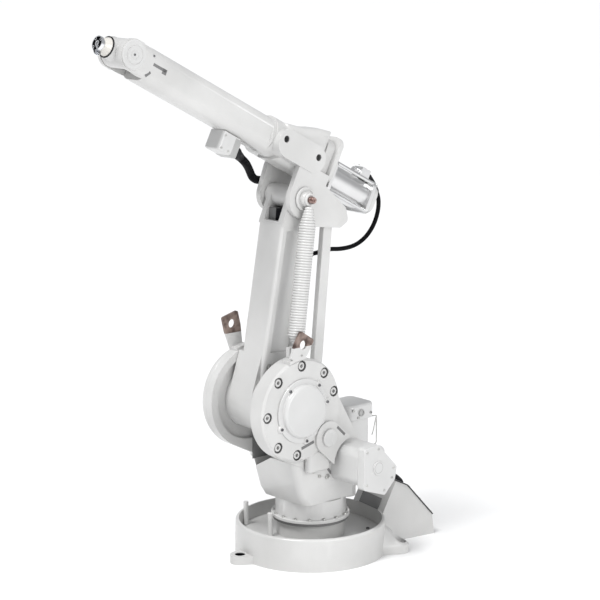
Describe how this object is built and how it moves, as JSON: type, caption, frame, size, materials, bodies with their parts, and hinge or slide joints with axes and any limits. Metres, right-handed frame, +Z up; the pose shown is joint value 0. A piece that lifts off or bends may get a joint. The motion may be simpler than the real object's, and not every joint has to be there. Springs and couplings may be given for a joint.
{
  "type": "six-axis industrial robot arm with a parallel rod",
  "caption": "White floor-standing robot arm with a round cast base, turning stand with gear drums, leaning lower arm, parallel rod and a slim forearm ending in a small tool flange.",
  "frame": {"origin": "on the floor under axis 1, the axis that the stand turns about", "axes": "+Z up along axis 1, +X to the base's front foot, away from the connection box, +Y to the robot's left"},
  "size_m": [1.1489, 0.5157, 1.566],
  "materials": {
    "white_paint": "satin",
    "bright_steel": "polished",
    "white_spring": "satin",
    "brown_steel": "matt",
    "black_paint": "matt",
    "black_plastic": "matt",
    "black_rubber": "satin",
    "silver_motor": "satin"
  },
  "bodies": {
    "base": {"base_casting": "white_paint", "connection_plate": "black_paint", "power_socket": "black_plastic", "signal_socket": "black_plastic", "swivel_ring": "white_paint", "stop_pin_1": "white_paint", "stop_pin_2": "white_paint"},
    "stand": {"stand_casting": "white_paint", "axis_3_gear_housing": "white_paint", "axis_2_gear_housing": "white_paint", "centre_cap": "white_paint", "pinion_cover": "white_paint", "axis_3_motor": "white_paint", "axis_3_motor_cover": "white_paint", "axis_2_motor": "white_paint", "axis_2_motor_cover": "white_paint", "axis_1_motor": "white_paint", "axis_1_motor_cover": "white_paint", "spring_anchor": "white_paint", "lifting_lug_1": "brown_steel", "lifting_lug_2": "brown_steel"},
    "lower_arm": {"lower_arm": "white_paint", "elbow_pin": "white_paint", "balancing_spring": "white_spring", "cable_gland": "black_plastic"},
    "crank": {"crank": "white_paint"},
    "rod": {"parallel_rod": "white_paint"},
    "upper_arm": {"upper_arm_housing": "white_paint", "axis_4_motor": "silver_motor", "axis_4_motor_cover": "silver_motor", "terminal_box": "silver_motor", "motor_plug": "black_plastic", "hose_clamp": "bright_steel", "motor_cable": "black_rubber", "forearm_hose": "black_rubber"},
    "forearm": {"forearm_tube": "white_paint", "cable_box": "white_paint", "hose_gland": "black_plastic"},
    "wrist": {"wrist_housing": "white_paint"},
    "flange": {"tool_flange": "bright_steel"}
  },
  "joints": [
    {"name": "axis_1", "type": "hinge", "parent": "base", "child": "stand", "pos_m": [0, 0, 0.12], "axis": [0, 0, 1], "range_deg": [-180.2, 159.8]},
    {"name": "axis_2", "type": "hinge", "parent": "stand", "child": "lower_arm", "pos_m": [0.14763, 0.02656, 0.475], "axis": [-0.1771, 0.9842, 0], "range_deg": [-64.5, 75.5], "deforming": ["balancing_spring"]},
    {"name": "axis_3", "type": "hinge", "parent": "lower_arm", "child": "upper_arm", "pos_m": [0.09103, 0.01638, 1.07224], "axis": [0.1771, -0.9842, 0], "range_deg": [-92, 43], "deforming": ["motor_cable"]},
    {"name": "axis_4", "type": "hinge", "parent": "upper_arm", "child": "forearm", "pos_m": [0.0365, 0.00657, 1.17868], "axis": [0.873, 0.1571, 0.4617], "range_deg": [-150, 150], "deforming": ["forearm_hose"]},
    {"name": "axis_5", "type": "hinge", "parent": "forearm", "child": "wrist", "pos_m": [0.66505, 0.11966, 1.51114], "axis": [-0.1771, 0.9842, 0], "range_deg": [-120.6, 109.4]},
    {"name": "axis_6", "type": "hinge", "parent": "wrist", "child": "flange", "pos_m": [0.66505, 0.11966, 1.51114], "axis": [0.9132, 0.1643, 0.373], "range_deg": [-300, 300]},
    {"name": "crank_turn", "type": "hinge", "parent": "lower_arm", "child": "crank", "pos_m": [0.14763, 0.02656, 0.475], "axis": [0.1771, -0.9842, 0], "range_deg": [-92, 43]},
    {"name": "rod_turn", "type": "hinge", "parent": "crank", "child": "rod", "pos_m": [0.03414, 0.00614, 0.41497], "axis": [0.1771, -0.9842, 0], "range_deg": [-43, 92]}
  ],
  "couplings": [
    {"joint": "crank_turn", "follows": "axis_3", "ratio": 1},
    {"joint": "rod_turn", "follows": "axis_3", "ratio": -1}
  ]
}
